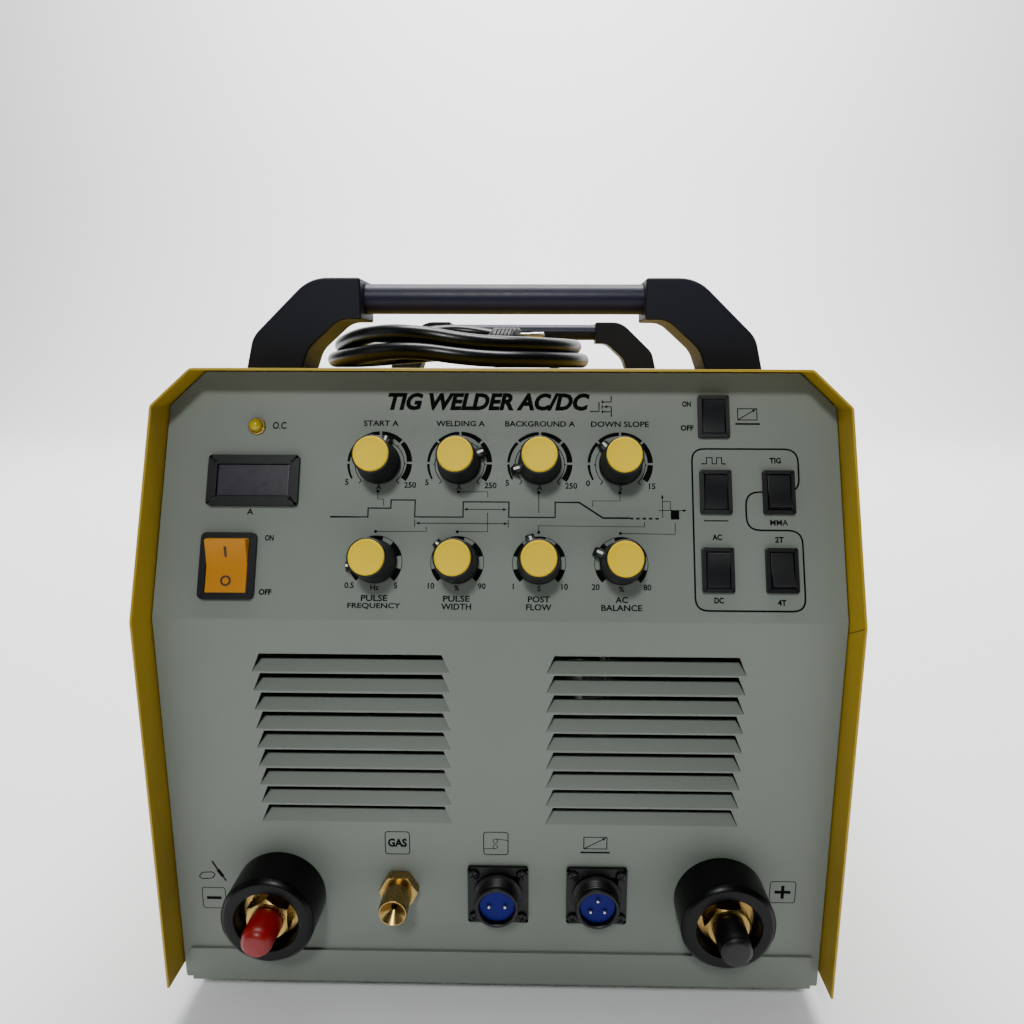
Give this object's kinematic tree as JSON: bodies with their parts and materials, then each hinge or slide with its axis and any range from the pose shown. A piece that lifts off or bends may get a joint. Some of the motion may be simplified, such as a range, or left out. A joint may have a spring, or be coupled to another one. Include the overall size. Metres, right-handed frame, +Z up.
{
  "type": "tig welding machine",
  "caption": "Portable inverter TIG welding machine: steel case with carry handles, leaning panel of dials and rocker switches, output terminals, gas outlet and coiled mains cord.",
  "frame": {"origin": "on the floor, under the middle of the machine's box without its mains cord", "axes": "+X right as seen from the front, +Y from front to rear, +Z up"},
  "size_m": [0.3316, 0.69, 0.3642],
  "materials": {
    "cover_yellow": "mustard yellow powder coat, fine orange peel",
    "panel_grey": "light grey satin powder coat with printed labels",
    "tray_grey": "light grey satin powder coat",
    "bracket_black": "black glass-filled nylon, fine texture",
    "tube_black": "semi-gloss black paint",
    "screw_zinc": "zinc plated",
    "foot_rubber": "matt black rubber",
    "meter_black": "satin black plastic",
    "meter_glass": "smoked purple acrylic",
    "lamp_lens": "clear yellow lens",
    "switch_black": "glossy black nylon",
    "switch_amber": "translucent amber polycarbonate",
    "knob_black": "satin black plastic, steel shaft inside",
    "knob_yellow": "bright yellow plastic",
    "pot_steel": "nickel plated steel",
    "board_green": "green circuit board",
    "insulator_black": "glossy black moulding",
    "brass": "machined brass",
    "cap_red": "glossy red vinyl",
    "cap_black": "glossy black vinyl",
    "socket_black": "black anodised shell",
    "socket_blue": "blue nylon insert",
    "fan_black": "black moulded plastic",
    "guard_steel": "bright plated wire",
    "coil_black": "black potted coil",
    "plunger_steel": "ground stainless steel",
    "hose_clear": "grey gas hose",
    "heatsink_aluminium": "extruded aluminium",
    "ferrite": "ferrite core and taped copper winding",
    "gland_black": "black nylon",
    "cord_black": "glossy black rubber sheath",
    "plug_black": "moulded black rubber"
  },
  "bodies": {
    "chassis": {"base_tray": "tray_grey", "front_panel": "panel_grey", "rear_panel": "panel_grey", "outer_cover": "cover_yellow", "rubber_feet": "foot_rubber", "handle_brackets": "bracket_black", "handle_tubes": "tube_black", "case_screws": "screw_zinc", "potentiometers": "pot_steel", "control_board": "board_green", "function_switch_housings": "switch_black", "power_switch_housing": "switch_black", "meter_bezel": "meter_black", "meter_window": "meter_glass", "overheat_lamp": "lamp_lens", "output_insulators": "insulator_black", "output_studs": "brass", "gas_outlet": "brass", "control_socket_shells": "socket_black", "control_socket_inserts": "socket_blue", "socket_screws": "screw_zinc", "fan_frame": "fan_black", "fan_guard": "guard_steel", "gas_valve_body": "brass", "gas_valve_coil": "coil_black", "gas_hose": "hose_clear", "heatsinks": "heatsink_aluminium", "inverter_board": "board_green", "main_transformer": "ferrite", "output_choke": "ferrite", "cord_gland": "gland_black", "mains_cord": "cord_black", "mains_cord_coil": "cord_black", "plug": "plug_black"},
    "start_current_knob": {"knob_start_current": "knob_black", "knob_cap_start_current": "knob_yellow"},
    "welding_current_knob": {"knob_welding_current": "knob_black", "knob_cap_welding_current": "knob_yellow"},
    "background_current_knob": {"knob_background_current": "knob_black", "knob_cap_background_current": "knob_yellow"},
    "down_slope_knob": {"knob_down_slope": "knob_black", "knob_cap_down_slope": "knob_yellow"},
    "pulse_frequency_knob": {"knob_pulse_frequency": "knob_black", "knob_cap_pulse_frequency": "knob_yellow"},
    "pulse_width_knob": {"knob_pulse_width": "knob_black", "knob_cap_pulse_width": "knob_yellow"},
    "post_flow_knob": {"knob_post_flow": "knob_black", "knob_cap_post_flow": "knob_yellow"},
    "ac_balance_knob": {"knob_ac_balance": "knob_black", "knob_cap_ac_balance": "knob_yellow"},
    "remote_switch_rocker": {"rocker_remote_switch": "switch_black"},
    "pulse_switch_rocker": {"rocker_pulse_switch": "switch_black"},
    "tig_mma_switch_rocker": {"rocker_tig_mma_switch": "switch_black"},
    "ac_dc_switch_rocker": {"rocker_ac_dc_switch": "switch_black"},
    "two_four_step_switch_rocker": {"rocker_two_four_step_switch": "switch_black"},
    "power_switch_rocker": {"rocker_power_switch": "switch_amber"},
    "fan": {"fan_rotor": "fan_black"},
    "negative_cap": {"negative_terminal_cap": "cap_red"},
    "positive_cap": {"positive_terminal_cap": "cap_black"},
    "valve_plunger": {"gas_valve_plunger": "plunger_steel"}
  },
  "joints": [
    {"name": "start_current_turn", "type": "hinge", "parent": "chassis", "child": "start_current_knob", "pos_m": [-0.0578, -0.23767, 0.27861], "axis": [0, 0.9367, -0.3502], "range_deg": [-153, 117]},
    {"name": "welding_current_turn", "type": "hinge", "parent": "chassis", "child": "welding_current_knob", "pos_m": [-0.0194, -0.23767, 0.27861], "axis": [0, 0.9367, -0.3502], "range_deg": [-200, 70]},
    {"name": "background_current_turn", "type": "hinge", "parent": "chassis", "child": "background_current_knob", "pos_m": [0.019, -0.23767, 0.27861], "axis": [0, 0.9367, -0.3502], "range_deg": [-29, 241]},
    {"name": "down_slope_turn", "type": "hinge", "parent": "chassis", "child": "down_slope_knob", "pos_m": [0.0574, -0.23767, 0.27861], "axis": [0, 0.9367, -0.3502], "range_deg": [-92, 178]},
    {"name": "pulse_frequency_turn", "type": "hinge", "parent": "chassis", "child": "pulse_frequency_knob", "pos_m": [-0.0578, -0.25423, 0.23431], "axis": [0, 0.9367, -0.3502], "range_deg": [-34, 236]},
    {"name": "pulse_width_turn", "type": "hinge", "parent": "chassis", "child": "pulse_width_knob", "pos_m": [-0.0194, -0.25423, 0.23431], "axis": [0, 0.9367, -0.3502], "range_deg": [-88, 182]},
    {"name": "post_flow_turn", "type": "hinge", "parent": "chassis", "child": "post_flow_knob", "pos_m": [0.019, -0.25423, 0.23431], "axis": [0, 0.9367, -0.3502], "range_deg": [-115, 155]},
    {"name": "ac_balance_turn", "type": "hinge", "parent": "chassis", "child": "ac_balance_knob", "pos_m": [0.0574, -0.25423, 0.23431], "axis": [0, 0.9367, -0.3502], "range_deg": [-69, 201]},
    {"name": "remote_switch_rock", "type": "hinge", "parent": "chassis", "child": "remote_switch_rocker", "pos_m": [0.1022, -0.2209, 0.29775], "axis": [1, 0, 0], "range_deg": [-22, 0]},
    {"name": "pulse_switch_rock", "type": "hinge", "parent": "chassis", "child": "pulse_switch_rocker", "pos_m": [0.1022, -0.23382, 0.26319], "axis": [1, 0, 0], "range_deg": [-22, 0]},
    {"name": "tig_mma_switch_rock", "type": "hinge", "parent": "chassis", "child": "tig_mma_switch_rocker", "pos_m": [0.1318, -0.23382, 0.26319], "axis": [1, 0, 0], "range_deg": [0, 22]},
    {"name": "ac_dc_switch_rock", "type": "hinge", "parent": "chassis", "child": "ac_dc_switch_rocker", "pos_m": [0.1022, -0.24678, 0.22853], "axis": [1, 0, 0], "range_deg": [-22, 0]},
    {"name": "two_four_step_switch_rock", "type": "hinge", "parent": "chassis", "child": "two_four_step_switch_rocker", "pos_m": [0.1318, -0.24678, 0.22853], "axis": [1, 0, 0], "range_deg": [0, 22]},
    {"name": "power_switch_rock", "type": "hinge", "parent": "chassis", "child": "power_switch_rocker", "pos_m": [-0.1273, -0.24664, 0.2289], "axis": [1, 0, 0], "range_deg": [-22, 0]},
    {"name": "fan_spin", "type": "hinge", "parent": "chassis", "child": "fan", "pos_m": [0.07, 0.24875, 0.118], "axis": [0, 1, 0], "continuous": true},
    {"name": "negative_cap_pull", "type": "slide", "parent": "chassis", "child": "negative_cap", "axis": [0, -1, 0], "range_m": [0, 0.03]},
    {"name": "positive_cap_pull", "type": "slide", "parent": "chassis", "child": "positive_cap", "axis": [0, -1, 0], "range_m": [0, 0.03]},
    {"name": "valve_lift", "type": "slide", "parent": "chassis", "child": "valve_plunger", "axis": [0, 0, 1], "range_m": [0, 0.002], "stiffness_N_per_m": 800, "springref_m": -0.002}
  ]
}
